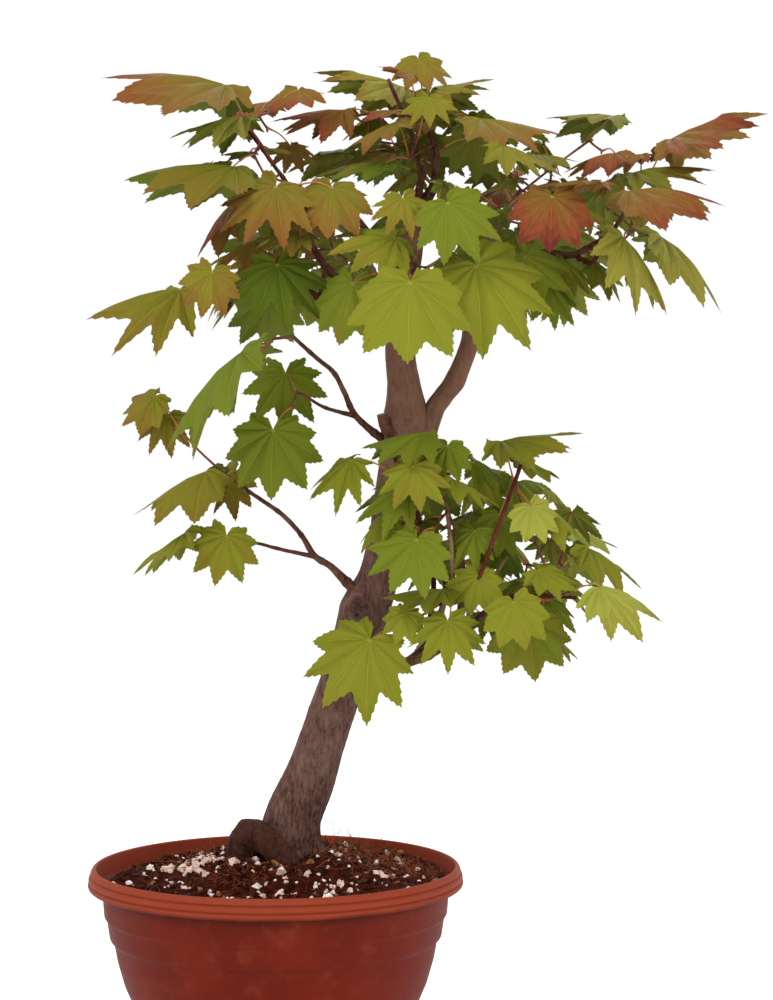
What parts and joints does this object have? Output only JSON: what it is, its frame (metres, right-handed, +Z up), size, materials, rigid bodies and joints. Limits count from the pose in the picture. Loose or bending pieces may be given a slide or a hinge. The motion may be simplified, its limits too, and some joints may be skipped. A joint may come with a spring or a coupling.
{
  "type": "potted vine maple bonsai",
  "caption": "Leaning vine maple bonsai in a round terracotta-coloured plastic pot, with a forked trunk, slender boughs and open layers of lobed leaves tinted russet at the crown.",
  "frame": {"origin": "middle of the flat underside of the pot", "axes": "+Z up; the tree leans towards +X; the side seen in the picture faces -Y"},
  "size_m": [0.5445, 0.3825, 0.8151],
  "materials": {
    "pot_plastic": "satin, lightly scuffed",
    "soil": "loose and matt",
    "bark": "smooth grey-brown bark",
    "root_bark": "rough dark bark",
    "young_bark": "smooth red-brown bark",
    "leaf_green": "thin, softly satin leaf",
    "leaf_warm": "thin, softly satin leaf",
    "leaf_russet": "thin, softly satin leaf"
  },
  "bodies": {
    "root": {"pot": "pot_plastic", "soil": "soil", "trunk": "bark", "leader": "bark", "right_limb": "bark", "surface_root": "root_bark", "crown_left_bough": "young_bark", "crown_left_low_bough": "young_bark", "crown_top_bough": "young_bark", "crown_front_bough": "young_bark", "crown_back_left_bough": "young_bark", "crown_back_right_bough": "young_bark", "crown_right_front_bough": "young_bark", "crown_far_right_bough": "young_bark", "left_high_bough": "young_bark", "left_high_side_bough": "young_bark", "left_low_bough": "young_bark", "left_low_side_bough": "young_bark", "middle_bough": "young_bark", "middle_right_bough": "young_bark", "middle_back_bough": "young_bark", "crown_top_leaves": "leaf_russet", "crown_left_leaves": "leaf_russet", "crown_left_low_leaves": "leaf_warm", "crown_front_leaves": "leaf_green", "crown_right_front_leaves": "leaf_green", "crown_right_leaves": "leaf_russet", "crown_far_right_leaves": "leaf_russet", "crown_back_left_leaves": "leaf_russet", "crown_back_right_leaves": "leaf_russet", "left_high_leaves": "leaf_green", "left_middle_leaves": "leaf_green", "left_low_leaves": "leaf_warm", "left_lowest_leaves": "leaf_warm", "middle_front_leaves": "leaf_green", "middle_right_leaves": "leaf_green", "middle_back_leaves": "leaf_green"}
  },
  "joints": []
}
